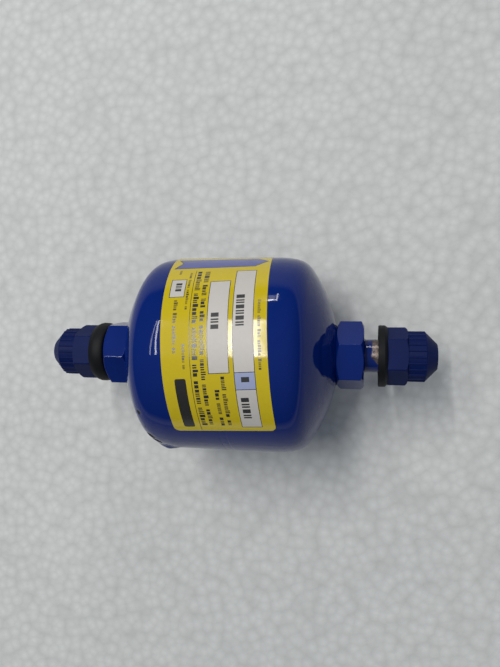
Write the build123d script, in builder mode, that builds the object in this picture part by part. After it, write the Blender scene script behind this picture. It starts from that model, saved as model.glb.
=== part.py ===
# Inline liquid-line filter drier with two flare connections, each closed by a screwed cap.
# X runs along the drier's axis, from inlet to outlet, +Z is up, and the origin is the drum's centre.
# Millimetres. Screw threads are plain cylinders here, at their outside radius.

import os
from math import atan2, cos, degrees, pi, radians, sin, sqrt

from build123d import *

os.makedirs("parts", exist_ok=True)

# Drum: two deep-drawn steel cups, welded round the middle.
drum_radius = 26.0
drum_straight = 30.6
drum_wall = 1.2
knuckle_radius = 7.6
crown_radius = 40.7
weld_x = 1.0
weld_face_width = 2.2
weld_root_width = 0.8

# Flare connections, with the thread of a quarter-inch flare.
nut_standoff = 0.15
nut_thickness = 6.9
nut_across_flats = 16.0
nut_bevel_angle = 30.0
outlet_nut_turn = -19.0
inlet_nut_turn = 7.2
thread_radius = 7 / 16 * 25.4 / 2
thread_pitch = 25.4 / 20
thread_depth = 0.62 * thread_pitch
relief_radius = 4.3
relief_length = 3.8
thread_length = 7.2
flare_length = 13.9
flare_base_radius = 4.75
flare_tip_radius = 2.9
flow_bore_radius = 2.4
spigot_radius = 6.5
spigot_length = 2.7
nozzle_radius = 4.4
nozzle_length = 1.4
braze_gap = 0.05
braze_fillet_radius = 9.2

# Screwed plastic caps.
cap_spigot_radius = 6.9
cap_spigot_length = 1.0
cap_hex_radius = 7.65
cap_hex_length = 5.2
cap_hex_turn = -4.5
cap_shoulder = 1.1
cap_grip_radius = 6.32
cap_grip_length = 4.4
cap_cone_length = 3.0
cap_nose_radius = 3.3
cap_edge_round = 0.45
rib_count = 24
rib_radius = 0.24
running_gap = 0.05
seat_gap = 0.05
disc_radius = 3.6
disc_thickness = 1.25
disc_fit = 0.05
cap_wall = 1.9
outlet_cap_backed_off = 1.35

# Rubber rings between the caps and the connections.
ring_radius = 8.05
ring_flange = 1.65
ring_slant = 0.6
ring_edge = 0.2
ring_bore_clearance = 0.2
ring_cap_clearance = 0.03
wide_ring_clearance = 0.3
wide_ring_bulge = 8.25
wide_ring_foot_radius = 7.4

# Inside: a sprung moulded core that presses on a mat and a perforated plate.
fit_gap = 0.1
plate_thickness = 0.8
perforated_plate_thickness = 1.0
perforated_plate_seat = 0.6
plate_hole_radius = 1.0
mat_thickness = 2.5
core_radius = 22.2
core_length = 23.9
core_bore_radius = 5.0
core_bore_depth = 15.0
core_bevel = 1.5
gasket_width = 3.2
spring_plate_rim = 3.4
spring_coil_radius = 14.0
spring_wire_radius = 0.8
spring_turns = 3.0
distributor_seat = 7.2
strainer_radius = 5.0
strainer_wall = 0.5
strainer_length = 6.5
strainer_hole_radius = 0.6

# Flow label: a printed film stuck on slightly askew.
label_width = 25.6
label_length = 57.0
label_thickness = 0.07
label_glue = 0.015
label_corner = 1.0
label_x = 0.28
label_angle = -18.2
label_skew = 3.5

half_straight = drum_straight / 2
knuckle_height = drum_radius - knuckle_radius
crown_reach = sqrt((crown_radius - knuckle_radius) ** 2 - knuckle_height**2)
crown_x = half_straight - crown_reach
crown_angle = degrees(atan2(knuckle_height, crown_reach))


# A point on the knuckle, or on the crown, of the drum's end, inset from its outer skin.
def knuckle_point(angle, inset=0.0):
    reach = knuckle_radius - inset
    return (half_straight + reach * cos(radians(angle)), knuckle_height + reach * sin(radians(angle)))


def crown_point(radius, inset=0.0):
    return (crown_x + sqrt((crown_radius - inset) ** 2 - radius**2), radius)


# The drum's inner radius at a distance from its middle.
def inner_radius(x):
    if x <= half_straight:
        return drum_radius - drum_wall
    if x <= knuckle_point(crown_angle, drum_wall)[0]:
        return knuckle_height + sqrt((knuckle_radius - drum_wall) ** 2 - (x - half_straight) ** 2)
    return sqrt((crown_radius - drum_wall) ** 2 - (x - crown_x) ** 2)


def swap(point, side):
    return (side * point[0], point[1])


# Half the section of one cup, drawn for the outlet with side 1 and for the inlet with side -1.
def cup_section(side):
    face = side * weld_x + weld_face_width / 2
    root = side * weld_x + weld_root_width / 2
    hole = spigot_radius + braze_gap
    outer_tangent = knuckle_point(crown_angle)
    inner_tangent = knuckle_point(crown_angle, drum_wall)
    outer_crown = crown_point((hole + outer_tangent[1]) / 2)
    inner_crown = crown_point((hole + inner_tangent[1]) / 2, drum_wall)
    outside = crown_point(hole)
    inside = crown_point(hole, drum_wall)
    middle = (90 + crown_angle) / 2
    Line(swap((face, drum_radius), side), swap((half_straight, drum_radius), side))
    ThreePointArc(
        swap((half_straight, drum_radius), side),
        swap(knuckle_point(middle), side),
        swap(outer_tangent, side),
    )
    ThreePointArc(swap(outer_tangent, side), swap(outer_crown, side), swap(outside, side))
    Line(swap(outside, side), swap(inside, side))
    ThreePointArc(swap(inside, side), swap(inner_crown, side), swap(inner_tangent, side))
    ThreePointArc(
        swap(inner_tangent, side),
        swap(knuckle_point(middle, drum_wall), side),
        swap((half_straight, drum_radius - drum_wall), side),
    )
    Line(
        swap((half_straight, drum_radius - drum_wall), side),
        swap((root, drum_radius - drum_wall), side),
    )
    Line(swap((root, drum_radius - drum_wall), side), swap((face, drum_radius), side))


with BuildPart() as inlet_shell:
    with BuildSketch(Plane.XY):
        with BuildLine():
            cup_section(-1)
        make_face()
    revolve(axis=Axis.X)
inlet_shell.part.label = "inlet_shell"
export_step(inlet_shell.part, "parts/inlet_shell.step")

with BuildPart() as outlet_shell:
    with BuildSketch(Plane.XY):
        with BuildLine():
            cup_section(1)
        make_face()
    revolve(axis=Axis.X)
outlet_shell.part.label = "outlet_shell"
export_step(outlet_shell.part, "parts/outlet_shell.step")

# The weld fills the groove between the cups and is dressed flush.
with BuildPart() as girth_weld:
    with BuildSketch(Plane.XY):
        with BuildLine():
            Polyline(
                (weld_x - weld_face_width / 2, drum_radius),
                (weld_x + weld_face_width / 2, drum_radius),
                (weld_x + weld_root_width / 2, drum_radius - drum_wall),
                (weld_x - weld_root_width / 2, drum_radius - drum_wall),
                close=True,
            )
        make_face()
    revolve(axis=Axis.X)
girth_weld.part.label = "girth_weld"
export_step(girth_weld.part, "parts/girth_weld.step")

# Connections: a hexagon bevelled on both faces, then a relief neck, the thread and the flare nose.
nut_corner_radius = nut_across_flats / sqrt(3)
nut_inner_x = crown_point(spigot_radius + braze_gap)[0] + nut_standoff
nut_outer_x = nut_inner_x + nut_thickness
nut_bevel_radius = nut_across_flats / 2 - 0.1
nut_bevel_width = (nut_corner_radius - nut_bevel_radius) * sin(radians(nut_bevel_angle)) / cos(
    radians(nut_bevel_angle)
)
thread_start_x = nut_outer_x + relief_length
thread_end_x = thread_start_x + thread_length
flare_tip_x = nut_outer_x + flare_length
flare_base_x = flare_tip_x - (flare_base_radius - flare_tip_radius)
spigot_x = nut_inner_x - spigot_length
nozzle_x = spigot_x - nozzle_length
thread_runout = thread_radius - relief_radius

with BuildPart() as outlet_fitting:
    with BuildSketch(Plane.YZ.offset(nut_inner_x)):
        RegularPolygon(nut_corner_radius, 6, rotation=90 + outlet_nut_turn)
    extrude(amount=nut_thickness)
    with BuildSketch(Plane.XY):
        with BuildLine():
            Polyline(
                (nut_inner_x, 0),
                (nut_inner_x, nut_bevel_radius),
                (nut_inner_x + nut_bevel_width, nut_corner_radius),
                (nut_outer_x - nut_bevel_width, nut_corner_radius),
                (nut_outer_x, nut_bevel_radius),
                (nut_outer_x, 0),
                close=True,
            )
        make_face()
    revolve(axis=Axis.X, mode=Mode.INTERSECT)
    with BuildSketch(Plane.XY):
        with BuildLine():
            Polyline(
                (nozzle_x, 0),
                (nozzle_x, nozzle_radius),
                (spigot_x, nozzle_radius),
                (spigot_x, spigot_radius),
                (nut_inner_x, spigot_radius),
                (nut_outer_x, relief_radius),
                (thread_start_x, relief_radius),
                (thread_start_x + thread_runout / 2, thread_radius),
                (thread_end_x, thread_radius),
                (thread_end_x + thread_depth, thread_radius - thread_depth),
                (flare_base_x, flare_base_radius),
                (flare_tip_x, flare_tip_radius),
                (flare_tip_x, 0),
                close=True,
            )
        make_face()
    revolve(axis=Axis.X)
    with BuildSketch(Plane.YZ.offset(nozzle_x)):
        Circle(flow_bore_radius)
    extrude(amount=flare_tip_x - nozzle_x, mode=Mode.SUBTRACT)
outlet_fitting.part.label = "outlet_fitting"
export_step(outlet_fitting.part, "parts/outlet_fitting.step")

with BuildPart() as inlet_fitting:
    add(outlet_fitting.part.mirror(Plane.YZ).rotate(Axis.X, inlet_nut_turn - outlet_nut_turn))
inlet_fitting.part.label = "inlet_fitting"
export_step(inlet_fitting.part, "parts/inlet_fitting.step")

# Braze: a ring of filler between the drum's crown and the back of the hexagon.
with BuildPart() as outlet_braze:
    with BuildSketch(Plane.XY):
        with BuildLine():
            inner = crown_point(spigot_radius + braze_gap)
            outer = crown_point(braze_fillet_radius)
            between = crown_point((spigot_radius + braze_gap + braze_fillet_radius) / 2)
            toe = (nut_inner_x, nut_bevel_radius - 0.3)
            waist = (outer[0] * 0.4 + toe[0] * 0.6, toe[1] + (outer[1] - toe[1]) * 0.25)
            ThreePointArc(inner, between, outer)
            ThreePointArc(outer, waist, toe)
            Line(toe, (nut_inner_x, spigot_radius + braze_gap))
            Line((nut_inner_x, spigot_radius + braze_gap), inner)
        make_face()
    revolve(axis=Axis.X)
outlet_braze.part.label = "outlet_braze"
export_step(outlet_braze.part, "parts/outlet_braze.step")

with BuildPart() as inlet_braze:
    add(outlet_braze.part.mirror(Plane.YZ))
inlet_braze.part.label = "inlet_braze"
export_step(inlet_braze.part, "parts/inlet_braze.step")

# Caps: a spigot that holds the rubber ring, a hexagon with a rounded shoulder, a ribbed grip and a cone.
# The inlet's cap is screwed home on the flare nose, and the outlet's stands a little off it.
disc_x = flare_tip_x + seat_gap
disc_bore_radius = disc_radius + disc_fit
disc_seat_x = disc_x + disc_thickness
cap_bore_radius = thread_radius + running_gap
cap_bore_end_x = disc_x - (cap_bore_radius - disc_bore_radius)
cap_end_x = disc_seat_x + cap_wall
cap_cone_x = cap_end_x - cap_cone_length
cap_shoulder_x = cap_cone_x - cap_grip_length
cap_x = cap_shoulder_x - cap_hex_length
ring_seat_x = cap_x - cap_spigot_length

with BuildPart() as seated_cap:
    with BuildSketch(Plane.YZ.offset(cap_x)):
        RegularPolygon(cap_hex_radius, 6, rotation=cap_hex_turn)
        fillet(vertices(), radius=0.5)
    extrude(amount=cap_hex_length)
    with BuildSketch(Plane.XY):
        with BuildLine():
            Polyline(
                (cap_shoulder_x, cap_grip_radius),
                (cap_shoulder_x, 0),
                (cap_x, 0),
                (cap_x, cap_hex_radius),
                (cap_shoulder_x - cap_shoulder, cap_hex_radius),
            )
            ThreePointArc(
                (cap_shoulder_x - cap_shoulder, cap_hex_radius),
                (
                    cap_shoulder_x - cap_shoulder * 0.35,
                    cap_grip_radius + (cap_hex_radius - cap_grip_radius) * 0.62,
                ),
                (cap_shoulder_x, cap_grip_radius),
            )
        make_face()
    revolve(axis=Axis.X, mode=Mode.INTERSECT)
    with BuildSketch(Plane.XY):
        with BuildLine():
            Polyline(
                (cap_x - cap_spigot_length, 0),
                (cap_x - cap_spigot_length, cap_spigot_radius),
                (cap_x, cap_spigot_radius),
                (cap_x, cap_grip_radius),
                (cap_cone_x, cap_grip_radius),
                (cap_end_x, cap_nose_radius),
                (cap_end_x, 0),
                close=True,
            )
        make_face()
        fillet(vertices().sort_by(Axis.X)[-2:].sort_by(Axis.Y)[-1], radius=cap_edge_round)
    revolve(axis=Axis.X)
    with BuildSketch(Plane.YZ.offset(cap_shoulder_x - cap_shoulder)):
        with PolarLocations(cap_grip_radius, rib_count):
            Circle(rib_radius)
    extrude(amount=cap_cone_x - cap_shoulder_x + cap_shoulder)
    with BuildSketch(Plane.XY):
        with BuildLine():
            Polyline(
                (cap_x - cap_spigot_length, 0),
                (cap_x - cap_spigot_length, cap_bore_radius),
                (cap_bore_end_x, cap_bore_radius),
                (disc_x, disc_bore_radius),
                (disc_seat_x, disc_bore_radius),
                (disc_seat_x, 0),
                close=True,
            )
        make_face()
    revolve(axis=Axis.X, mode=Mode.SUBTRACT)
with BuildPart() as inlet_cap:
    add(seated_cap.part.mirror(Plane.YZ))
inlet_cap.part.label = "inlet_cap"
export_step(inlet_cap.part, "parts/inlet_cap.step")

with BuildPart() as outlet_cap:
    add(seated_cap.part.moved(Pos(outlet_cap_backed_off, 0, 0)))
outlet_cap.part.label = "outlet_cap"
export_step(outlet_cap.part, "parts/outlet_cap.step")

with BuildPart() as outlet_cap_disc:
    with BuildSketch(Plane.YZ.offset(disc_x + outlet_cap_backed_off)):
        Circle(disc_radius)
    extrude(amount=disc_thickness)
    chamfer(outlet_cap_disc.edges().filter_by(GeomType.CIRCLE), length=0.2)
outlet_cap_disc.part.label = "outlet_cap_disc"
export_step(outlet_cap_disc.part, "parts/outlet_cap_disc.step")

with BuildPart() as inlet_cap_disc:
    with BuildSketch(Plane.YZ.offset(-disc_x)):
        Circle(disc_radius)
    extrude(amount=-disc_thickness)
    chamfer(inlet_cap_disc.edges().filter_by(GeomType.CIRCLE), length=0.2)
inlet_cap_disc.part.label = "inlet_cap_disc"
export_step(inlet_cap_disc.part, "parts/inlet_cap_disc.step")

# Rings: each grips its cap's spigot and slides over the thread.
ring_bore_radius = thread_radius + ring_bore_clearance
ring_seat_radius = cap_spigot_radius + ring_cap_clearance
ring_back_radius = ring_radius - ring_slant * 0.75
outlet_cap_x = cap_x + outlet_cap_backed_off
outlet_ring_x = outlet_cap_x - ring_slant - ring_flange

with BuildPart() as outlet_cap_ring:
    with BuildSketch(Plane.XY):
        with BuildLine():
            Polyline(
                (outlet_ring_x, ring_bore_radius),
                (outlet_ring_x, ring_radius - ring_edge),
                (outlet_ring_x + ring_edge, ring_radius),
                (outlet_ring_x + ring_flange, ring_radius),
                (outlet_cap_x, ring_back_radius),
                (outlet_cap_x, ring_seat_radius),
                (outlet_cap_x - cap_spigot_length, ring_seat_radius),
                (outlet_cap_x - cap_spigot_length, ring_bore_radius),
                close=True,
            )
        make_face()
    revolve(axis=Axis.X)
outlet_cap_ring.part.label = "outlet_cap_ring"
export_step(outlet_cap_ring.part, "parts/outlet_cap_ring.step")

# The inlet's ring is wider and bulges: it fills the neck as far as the hexagon.
wide_ring_x = nut_outer_x + wide_ring_clearance
with BuildPart() as inlet_cap_ring:
    with BuildSketch(Plane.XY):
        with BuildLine():
            back = (-cap_x, ring_back_radius)
            crest = (-cap_x + (cap_x - wide_ring_x) * 0.55, wide_ring_bulge)
            foot = (-wide_ring_x, wide_ring_foot_radius)
            Spline(back, crest, foot, tangents=[(1, 0.25), (0.35, -1)])
            Polyline(
                foot,
                (-wide_ring_x, ring_bore_radius),
                (-ring_seat_x, ring_bore_radius),
                (-ring_seat_x, ring_seat_radius),
                (-cap_x, ring_seat_radius),
                back,
            )
        make_face()
    revolve(axis=Axis.X)
inlet_cap_ring.part.label = "inlet_cap_ring"
export_step(inlet_cap_ring.part, "parts/inlet_cap_ring.step")

# Perforated plate: the core and mat press it against the knuckle of the outlet cup.
perforated_plate_x = half_straight + perforated_plate_seat
plate_radius = inner_radius(perforated_plate_x + perforated_plate_thickness) - fit_gap
with BuildPart() as perforated_plate:
    with BuildSketch(Plane.YZ.offset(perforated_plate_x)):
        Circle(plate_radius)
        with Locations((0, 0)):
            Circle(plate_hole_radius, mode=Mode.SUBTRACT)
        for turn in range(1, 6):
            with PolarLocations(plate_radius * turn / 5.6, 6 * turn):
                Circle(plate_hole_radius, mode=Mode.SUBTRACT)
    extrude(amount=perforated_plate_thickness)
perforated_plate.part.label = "perforated_plate"
export_step(perforated_plate.part, "parts/perforated_plate.step")

mat_x = perforated_plate_x - mat_thickness
with BuildPart() as filter_mat:
    with BuildSketch(Plane.YZ.offset(mat_x)):
        Circle(inner_radius(0) - fit_gap)
    extrude(amount=mat_thickness)
filter_mat.part.label = "filter_mat"
export_step(filter_mat.part, "parts/filter_mat.step")

# Moulded desiccant core with a blind bore open to the mat.
core_x = mat_x - core_length
with BuildPart() as desiccant_core:
    with BuildSketch(Plane.YZ.offset(core_x)):
        Circle(core_radius)
    extrude(amount=core_length)
    chamfer(desiccant_core.edges().filter_by(GeomType.CIRCLE), length=core_bevel)
    with BuildSketch(Plane.YZ.offset(mat_x)):
        Circle(core_bore_radius)
    extrude(amount=-core_bore_depth, taper=3, mode=Mode.SUBTRACT)
desiccant_core.part.label = "desiccant_core"
export_step(desiccant_core.part, "parts/desiccant_core.step")

with BuildPart() as core_gasket:
    with BuildSketch(Plane.YZ.offset(mat_x - core_bevel)):
        Circle(inner_radius(0) - fit_gap)
        Circle(core_radius, mode=Mode.SUBTRACT)
    extrude(amount=-gasket_width)
core_gasket.part.label = "core_gasket"
export_step(core_gasket.part, "parts/core_gasket.step")

# Spring plate: a perforated dish whose rim centres the core.
spring_plate_x = core_x - plate_thickness
with BuildPart() as spring_plate:
    with BuildSketch(Plane.YZ.offset(spring_plate_x)):
        Circle(core_radius + fit_gap + plate_thickness)
    extrude(amount=plate_thickness + spring_plate_rim)
    with BuildSketch(Plane.YZ.offset(core_x)):
        Circle(core_radius + fit_gap)
    extrude(amount=spring_plate_rim, mode=Mode.SUBTRACT)
    with BuildSketch(Plane.YZ.offset(spring_plate_x)):
        with PolarLocations(core_radius * 0.45, 8):
            Circle(plate_hole_radius * 1.6)
        with PolarLocations(core_radius * 0.82, 14):
            Circle(plate_hole_radius * 1.6)
    extrude(amount=plate_thickness, mode=Mode.SUBTRACT)
spring_plate.part.label = "spring_plate"
export_step(spring_plate.part, "parts/spring_plate.step")

# Distributor: a perforated disc in the inlet crown that spreads the flow and seats the spring.
distributor_x = half_straight + distributor_seat
distributor_radius = inner_radius(distributor_x) - fit_gap
with BuildPart() as inlet_distributor:
    with BuildSketch(Plane.YZ.offset(-distributor_x)):
        Circle(distributor_radius)
        with PolarLocations(distributor_radius * 0.45, 8):
            Circle(plate_hole_radius, mode=Mode.SUBTRACT)
        with PolarLocations(distributor_radius * 0.88, 20):
            Circle(plate_hole_radius, mode=Mode.SUBTRACT)
    extrude(amount=plate_thickness)
inlet_distributor.part.label = "inlet_distributor"
export_step(inlet_distributor.part, "parts/inlet_distributor.step")

spring_start_x = -distributor_x + plate_thickness
spring_room = spring_plate_x - spring_start_x
spring_height = spring_room - 2 * spring_wire_radius
with BuildPart() as core_spring:
    with BuildLine() as spring_path:
        Helix(
            pitch=spring_height / spring_turns,
            height=spring_height,
            radius=spring_coil_radius,
            center=(spring_start_x + spring_wire_radius, 0, 0),
            direction=(1, 0, 0),
        )
    with BuildSketch(Plane(origin=spring_path.line @ 0, z_dir=spring_path.line % 0)):
        Circle(spring_wire_radius)
    sweep(path=spring_path.line, is_frenet=True)
core_spring.part.label = "core_spring"
export_step(core_spring.part, "parts/core_spring.step")

# Strainer: a perforated cup pushed on the nozzle inside the outlet.
strainer_bore_radius = nozzle_radius + braze_gap
strainer_mouth_x = spigot_x
strainer_end_x = strainer_mouth_x - strainer_length
with BuildPart() as outlet_strainer:
    with BuildSketch(Plane.YZ.offset(strainer_end_x)):
        Circle(strainer_bore_radius + strainer_wall)
    extrude(amount=strainer_length)
    with BuildSketch(Plane.YZ.offset(strainer_end_x + strainer_wall)):
        Circle(strainer_bore_radius)
    extrude(amount=strainer_length - strainer_wall, mode=Mode.SUBTRACT)
    with BuildSketch(Plane.YZ.offset(strainer_end_x)):
        with PolarLocations(strainer_bore_radius * 0.55, 6):
            Circle(strainer_hole_radius)
    extrude(amount=strainer_wall, mode=Mode.SUBTRACT)
    for row in (0.3, 0.6):
        with BuildSketch(Plane.XY):
            with Locations((strainer_end_x + (strainer_length - nozzle_length) * row, 0)):
                Circle(strainer_hole_radius)
        extrude(amount=strainer_radius * 2, both=True, mode=Mode.SUBTRACT)
        with BuildSketch(Plane.XZ):
            with Locations((strainer_end_x + (strainer_length - nozzle_length) * row, 0)):
                Circle(strainer_hole_radius)
        extrude(amount=strainer_radius * 2, both=True, mode=Mode.SUBTRACT)
outlet_strainer.part.label = "outlet_strainer"
export_step(outlet_strainer.part, "parts/outlet_strainer.step")

# Label: a film stuck on the drum, turned by its skew, with rounded corners.
label_radius = drum_radius + label_glue


def label_point(across, along):
    skew = radians(label_skew)
    reach = across * cos(skew) - along * sin(skew)
    turn = radians(label_angle) - (across * sin(skew) + along * cos(skew)) / label_radius
    return Vector(label_x + reach, -label_radius * sin(turn), label_radius * cos(turn))


label_grid = []
for step in range(25):
    row = [label_point(label_width * (i / 4 - 0.5), label_length * (0.5 - step / 24)) for i in range(5)]
    label_grid.append(row)
label_face = Face.make_surface_from_array_of_points(label_grid, tol=0.001)
with BuildPart() as flow_label:
    thicken(label_face, amount=label_thickness)
    fillet(flow_label.edges().filter_by(lambda edge: edge.length < 2 * label_thickness), radius=label_corner)
flow_label.part.label = "flow_label"
export_step(flow_label.part, "parts/flow_label.step")
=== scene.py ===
import math
import random

import bmesh
import bpy
from mathutils import Euler, Matrix, Vector, noise
from mathutils.geometry import delaunay_2d_cdt


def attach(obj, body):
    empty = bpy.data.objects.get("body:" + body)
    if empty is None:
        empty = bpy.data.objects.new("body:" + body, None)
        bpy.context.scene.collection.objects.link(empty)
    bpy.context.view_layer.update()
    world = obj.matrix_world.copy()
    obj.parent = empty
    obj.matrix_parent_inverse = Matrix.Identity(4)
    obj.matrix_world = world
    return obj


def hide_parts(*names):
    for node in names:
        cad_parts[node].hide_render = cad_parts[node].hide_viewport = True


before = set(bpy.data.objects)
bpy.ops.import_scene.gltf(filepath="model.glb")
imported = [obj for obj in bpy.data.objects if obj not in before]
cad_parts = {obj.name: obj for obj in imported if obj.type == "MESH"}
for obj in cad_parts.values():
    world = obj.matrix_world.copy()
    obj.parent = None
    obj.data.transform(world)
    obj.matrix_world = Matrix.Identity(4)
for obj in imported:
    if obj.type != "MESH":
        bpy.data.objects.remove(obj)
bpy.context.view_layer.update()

print("frame loaded,", len(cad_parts), "nodes")

mm = 0.001  # pieces are drawn in millimetres, with X along the drier and +Z up


def rgb(red, green, blue):
    linear = []
    for part in (red, green, blue):
        part /= 255
        linear.append(part / 12.92 if part <= 0.04045 else ((part + 0.055) / 1.055) ** 2.4)
    return (*linear, 1.0)


class Tap:  # one output socket, with the arithmetic that the trees use
    def __init__(self, tree, socket=None):
        self.tree = tree
        self.socket = socket

    def node(self, kind, settings=None, inputs=None, output=0):
        made = self.tree.nodes.new(kind)
        for key, value in (settings or {}).items():
            setattr(made, key, value)
        for key, value in (inputs or {}).items():
            if isinstance(value, Tap):
                self.tree.links.new(value.socket, made.inputs[key])
            else:
                made.inputs[key].default_value = value
        return Tap(self.tree, made.outputs[output])

    def maths(self, operation, *values, clamp=False):
        settings = {"operation": operation, "use_clamp": clamp}
        return self.node("ShaderNodeMath", settings, dict(enumerate(values)))

    def __add__(self, other):
        return self.maths("ADD", self, other)

    def __sub__(self, other):
        return self.maths("SUBTRACT", self, other)

    def __rsub__(self, other):
        return self.maths("SUBTRACT", other, self)

    def __mul__(self, other):
        return self.maths("MULTIPLY", self, other)

    def __truediv__(self, other):
        return self.maths("DIVIDE", self, other)

    __radd__ = __add__
    __rmul__ = __mul__

    def clamped(self):
        return self.maths("ADD", self, 0.0, clamp=True)

    def larger(self, other):
        return self.maths("MAXIMUM", self, other)

    def smaller(self, other):
        return self.maths("MINIMUM", self, other)

    def noise(self, size, detail=2.0, roughness=0.5, distortion=0.0):  # size in millimetres
        return self.node("ShaderNodeTexNoise", {}, {
            "Vector": self, "Scale": 1000.0 / size, "Detail": detail,
            "Roughness": roughness, "Distortion": distortion,
        })

    def cells(self, size):  # size in millimetres
        return self.node("ShaderNodeTexVoronoi", {}, {"Vector": self, "Scale": 1000.0 / size})

    def part(self, axis):
        return self.node("ShaderNodeSeparateXYZ", {}, {0: self}, output="XYZ".index(axis))

    def stretched(self, x, y, z):
        return self.node("ShaderNodeMapping", {}, {"Vector": self, "Scale": (x, y, z)})

    def beside(self, name):  # another output of the same node
        return Tap(self.tree, self.socket.node.outputs[name])

    def distance(self, point):
        ends = {0: self, 1: point}
        return self.node("ShaderNodeVectorMath", {"operation": "DISTANCE"}, ends, output=1)

    def mixed(self, low, high):  # this mask picks between two colours
        colours = {0: self, 6: low, 7: high}
        return self.node("ShaderNodeMix", {"data_type": "RGBA"}, colours, output=2)

    def moved(self, shift, turn):
        return self.node("GeometryNodeTransform", {}, {
            "Geometry": self, "Translation": shift, "Rotation": turn,
        })

    def bumped(self, depth, strength=1.0):  # depth in millimetres
        return self.node("ShaderNodeBump", {}, {
            "Strength": strength, "Distance": depth * mm, "Height": self,
        })


def newMaterial(name, fixed, look):
    material = bpy.data.materials.new(name)
    material.use_nodes = True
    tree = material.node_tree
    shader = tree.nodes["Principled BSDF"]
    for key, value in fixed.items():
        shader.inputs[key].default_value = value
    place = Tap(tree).node("ShaderNodeTexCoord", output=3)  # object coordinates
    for key, tap in look(place).items():
        tree.links.new(tap.socket, shader.inputs[key])
    return material


paintLookValues = {
    "blue": rgb(4, 36, 112),
    "deepBlue": rgb(2, 29, 99),
    "hazeSize": 14.0,
    "peelSize": 1.6,
    "peelDepth": 0.006,
    "roughness": 0.035,
    "dust": rgb(120, 130, 150),
    "dustSize": 0.35,
    "dustLevel": 0.73,  # only the noise above this shows as dust
    # the chips are coloured near-black: chipped paint with painted shade of the dents laid over it
    "chipAndDentShadeColour": rgb(3, 4, 9),
    "chipShadeEdge": 0.12,
    "chipShadeWobble": 1.6,
    "chipsWithDentShade": [  # place and size of each chip, in millimetres; chipped paint, darkened to near-black as painted shade of the dents
        ((-19.8, -14.4, 19.8), 0.75),
        ((-19.2, -21.3, 13.1), 1.45),
        ((-18.1, -22.95, 10.8), 1.45),
        ((-19.2, -18.3, 16.8), 0.3),
        ((22.4, -3.0, -19.6), 0.8),
    ],
}


def paintLook(place):
    values = paintLookValues
    peel = place.noise(values["peelSize"], 1.5)
    haze = place.noise(values["hazeSize"], 3.0)
    dust = ((place.noise(values["dustSize"], 1.0) - values["dustLevel"]) * 9.0).clamped()
    colour = haze.mixed(values["deepBlue"], values["blue"])
    colour = (dust * 0.12).mixed(colour, values["dust"])
    wobble = (place.noise(1.0, 4.0, 0.65) - 0.5) * values["chipShadeWobble"] * mm
    chipAndDentShade = None
    for centre, size in values["chipsWithDentShade"]:
        gap = place.distance(Vector(centre) * mm) + wobble
        mask = ((size * mm - gap) / (values["chipShadeEdge"] * mm)).clamped()
        chipAndDentShade = mask if chipAndDentShade is None else chipAndDentShade.larger(mask)
    # painted dent shade: the chips turn near-black
    colour = chipAndDentShade.mixed(colour, values["chipAndDentShadeColour"])
    height = peel - chipAndDentShade * 1.5
    return {
        "Base Color": colour,
        "Roughness": values["roughness"] * (1.0 + haze) + dust * 0.3 + chipAndDentShade * 0.5,
        "Normal": height.bumped(values["peelDepth"]),
    }


drumPaint = newMaterial("drumPaint", {"IOR": 1.5, "Specular IOR Level": 0.24}, paintLook)

neckLookValues = {
    "paintEnds": 36.9,  # distance from the middle at which the paint runs out
    "fade": 0.4,
    "bareSide": (0.47, 0.88),  # the spray missed the neck on the side that faces this way, along Y and Z
    "bareReach": 3.4,
    "bareFade": 1.2,
    "cover": 1.7,
    "ragged": 1.6,
    "speckFrom": 39.0,  # the overspray thins out towards here
    "speckFade": 3.0,
    "steel": rgb(130, 120, 114),
    "stain": rgb(70, 56, 46),
}


def neckLook(place):
    values = neckLookValues
    paint = paintLookValues
    reach = place.part("X").maths("ABSOLUTE", place.part("X"))
    ragged = (place.noise(1.9, 3.0) - 0.5) * values["ragged"] * mm
    facing = place.part("Y") * values["bareSide"][0] + place.part("Z") * values["bareSide"][1]
    covered = ((values["bareReach"] * mm - facing) / (values["bareFade"] * mm)).clamped()
    cover = covered * values["cover"] * mm
    bare = ((reach + ragged - cover - values["paintEnds"] * mm) / (values["fade"] * mm)).clamped()
    speck = ((place.noise(0.5, 1.0) - 0.6) * 14.0).clamped()
    nearNut = ((values["speckFrom"] * mm - reach) / (values["speckFade"] * mm)).clamped()
    bare = bare * (1.0 - speck * nearNut)
    haze = place.noise(9.0, 2.0)
    blue = haze.mixed(paint["deepBlue"], paint["blue"])
    metal = ((place.noise(1.7, 4.0) - 0.42) * 3.5).clamped().mixed(values["steel"], values["stain"])
    turned = place.stretched(14.0, 1.0, 1.0).noise(2.0, 2.0)
    return {
        "Base Color": bare.mixed(blue, metal),
        "Metallic": bare * 0.95,
        "Roughness": 0.09 + haze * 0.06 + bare * (0.13 + turned * 0.2),
        "Normal": (place.noise(1.5, 1.5) * (1.0 - bare) + turned * bare * 0.5).bumped(0.012),
    }


neckPaint = newMaterial("neckPaint", {"IOR": 1.5, "Specular IOR Level": 0.28}, neckLook)


capLookValues = {
    "deepBlue": rgb(3, 19, 64),
    "blue": rgb(6, 26, 82),
    "scuff": rgb(80, 92, 130),
    "roughness": 0.46,
    "grainDepth": 0.014,
}


def capLook(place):
    values = capLookValues
    haze = place.noise(5.0, 3.0)
    grain = place.noise(0.28, 2.0)
    flow = place.stretched(0.35, 1.0, 1.0).noise(1.9, 3.0)
    scuff = ((place.noise(1.3, 5.0, 0.7) - 0.6) * 7.0).clamped()
    colour = haze.mixed(values["deepBlue"], values["blue"])
    colour = (scuff * 0.07).mixed(colour, values["scuff"])
    return {
        "Base Color": colour,
        "Roughness": values["roughness"] + flow * 0.12 + scuff * 0.1,
        "Normal": (grain * 0.5 + flow).bumped(values["grainDepth"]),
    }


capPlastic = newMaterial("capPlastic", {"IOR": 1.48, "Specular IOR Level": 0.12}, capLook)


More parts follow.
